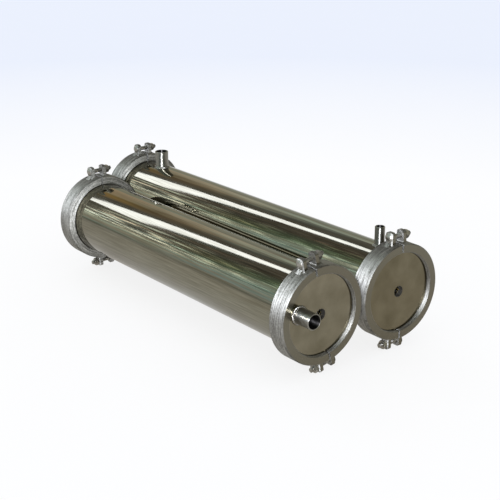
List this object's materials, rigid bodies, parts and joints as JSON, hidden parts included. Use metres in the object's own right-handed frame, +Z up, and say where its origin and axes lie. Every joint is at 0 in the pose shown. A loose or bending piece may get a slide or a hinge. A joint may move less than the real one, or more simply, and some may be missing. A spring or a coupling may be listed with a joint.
{
  "type": "uv clarifier",
  "caption": "Pair of polished stainless steel UV clarifier chambers lying side by side, with end plates held by split two-bolt clamps; one has end nozzles, the other tube-top nozzles.",
  "frame": {"origin": "bottom centre of the bounding box, on the surface that the clamp ears stand on", "axes": "+X along both chambers towards their front ends, +Y from the short chamber to the long one, +Z up"},
  "size_m": [1.012, 0.416, 0.2575],
  "materials": {
    "polished_steel": "mirror polished stainless steel",
    "machined_steel": "machined stainless steel",
    "cast_steel": "cast stainless steel, blasted and lightly brushed",
    "bolt_steel": "bright stainless steel",
    "epdm_rubber": "matte",
    "quartz": "gloss",
    "lamp_glass": "gloss",
    "lamp_ceramic": "matte",
    "brass_pins": "satin",
    "electrode_wire": "satin",
    "ptfe": "satin"
  },
  "bodies": {
    "root": {"long_back_clamp_inner": "cast_steel", "long_back_end_plate": "polished_steel", "long_back_gasket": "epdm_rubber", "long_back_nipple": "polished_steel", "long_back_weld_ring": "machined_steel", "long_front_clamp_inner": "cast_steel", "long_front_end_plate": "polished_steel", "long_front_gasket": "epdm_rubber", "long_front_nipple": "polished_steel", "long_front_weld_ring": "machined_steel", "long_inner_bolts": "bolt_steel", "long_quartz_sleeve": "quartz", "long_shell_tube": "polished_steel", "long_sleeve_glands": "ptfe", "long_sleeve_seals": "epdm_rubber", "short_back_clamp_inner": "cast_steel", "short_back_end_plate": "polished_steel", "short_back_gasket": "epdm_rubber", "short_back_nozzle": "polished_steel", "short_back_weld_ring": "machined_steel", "short_front_clamp_inner": "cast_steel", "short_front_end_plate": "polished_steel", "short_front_gasket": "epdm_rubber", "short_front_nozzle": "polished_steel", "short_front_weld_ring": "machined_steel", "short_inner_bolts": "bolt_steel", "short_quartz_sleeve": "quartz", "short_shell_tube": "polished_steel", "short_sleeve_glands": "ptfe", "short_sleeve_seals": "epdm_rubber"},
    "short_front_outer_half": {"short_front_clamp_outer": "cast_steel", "short_front_outer_bolt": "bolt_steel"},
    "short_front_outer_nut_body": {"short_front_outer_nut": "bolt_steel"},
    "short_front_inner_nut_body": {"short_front_inner_nut": "bolt_steel"},
    "short_back_outer_half": {"short_back_clamp_outer": "cast_steel", "short_back_outer_bolt": "bolt_steel"},
    "short_back_outer_nut_body": {"short_back_outer_nut": "bolt_steel"},
    "short_back_inner_nut_body": {"short_back_inner_nut": "bolt_steel"},
    "short_lamp": {"short_lamp_tube": "lamp_glass", "short_lamp_bases": "lamp_ceramic", "short_lamp_pins": "brass_pins", "short_lamp_electrodes": "electrode_wire"},
    "long_front_outer_half": {"long_front_clamp_outer": "cast_steel", "long_front_outer_bolt": "bolt_steel"},
    "long_front_outer_nut_body": {"long_front_outer_nut": "bolt_steel"},
    "long_front_inner_nut_body": {"long_front_inner_nut": "bolt_steel"},
    "long_back_outer_half": {"long_back_clamp_outer": "cast_steel", "long_back_outer_bolt": "bolt_steel"},
    "long_back_outer_nut_body": {"long_back_outer_nut": "bolt_steel"},
    "long_back_inner_nut_body": {"long_back_inner_nut": "bolt_steel"},
    "long_lamp": {"long_lamp_tube": "lamp_glass", "long_lamp_bases": "lamp_ceramic", "long_lamp_pins": "brass_pins", "long_lamp_electrodes": "electrode_wire"}
  },
  "joints": [
    {"name": "short_front_clamp_open", "type": "slide", "parent": "root", "child": "short_front_outer_half", "axis": [0, -0.9781, -0.2079], "range_m": [0, 0.1]},
    {"name": "short_front_outer_nut_turn", "type": "hinge", "parent": "short_front_outer_half", "child": "short_front_outer_nut_body", "pos_m": [0.45, -0.10602, 0.00996], "axis": [0, 0.9781, 0.2079], "continuous": true},
    {"name": "short_front_inner_nut_turn", "type": "hinge", "parent": "root", "child": "short_front_inner_nut_body", "pos_m": [0.45, -0.10398, 0.24758], "axis": [0, 0.9781, 0.2079], "continuous": true},
    {"name": "short_back_clamp_open", "type": "slide", "parent": "root", "child": "short_back_outer_half", "axis": [0, -0.9986, -0.0523], "range_m": [0, 0.1]},
    {"name": "short_back_outer_nut_turn", "type": "hinge", "parent": "short_back_outer_half", "child": "short_back_outer_nut_body", "pos_m": [-0.358, -0.12459, 0.01158], "axis": [0, 0.9986, 0.0523], "continuous": true},
    {"name": "short_back_inner_nut_turn", "type": "hinge", "parent": "root", "child": "short_back_inner_nut_body", "pos_m": [-0.358, -0.08541, 0.24595], "axis": [0, 0.9986, 0.0523], "continuous": true},
    {"name": "short_lamp_draw", "type": "slide", "parent": "root", "child": "short_lamp", "axis": [1, 0, 0], "range_m": [0, 0.85]},
    {"name": "long_front_clamp_open", "type": "slide", "parent": "root", "child": "long_front_outer_half", "axis": [0, 1, 0], "range_m": [0, 0.1]},
    {"name": "long_front_outer_nut_turn", "type": "hinge", "parent": "long_front_outer_half", "child": "long_front_outer_nut_body", "pos_m": [0.453, 0.1307, 0.2435], "axis": [0, 1, 0], "continuous": true},
    {"name": "long_front_inner_nut_turn", "type": "hinge", "parent": "root", "child": "long_front_inner_nut_body", "pos_m": [0.453, 0.0793, 0.0115], "axis": [0, 1, 0], "continuous": true},
    {"name": "long_back_clamp_open", "type": "slide", "parent": "root", "child": "long_back_outer_half", "axis": [0, 1, 0], "range_m": [0, 0.1]},
    {"name": "long_back_outer_nut_turn", "type": "hinge", "parent": "long_back_outer_half", "child": "long_back_outer_nut_body", "pos_m": [-0.485, 0.1307, 0.2435], "axis": [0, 1, 0], "continuous": true},
    {"name": "long_back_inner_nut_turn", "type": "hinge", "parent": "root", "child": "long_back_inner_nut_body", "pos_m": [-0.485, 0.0793, 0.0115], "axis": [0, 1, 0], "continuous": true},
    {"name": "long_lamp_draw", "type": "slide", "parent": "root", "child": "long_lamp", "axis": [1, 0, 0], "range_m": [0, 0.98]}
  ]
}
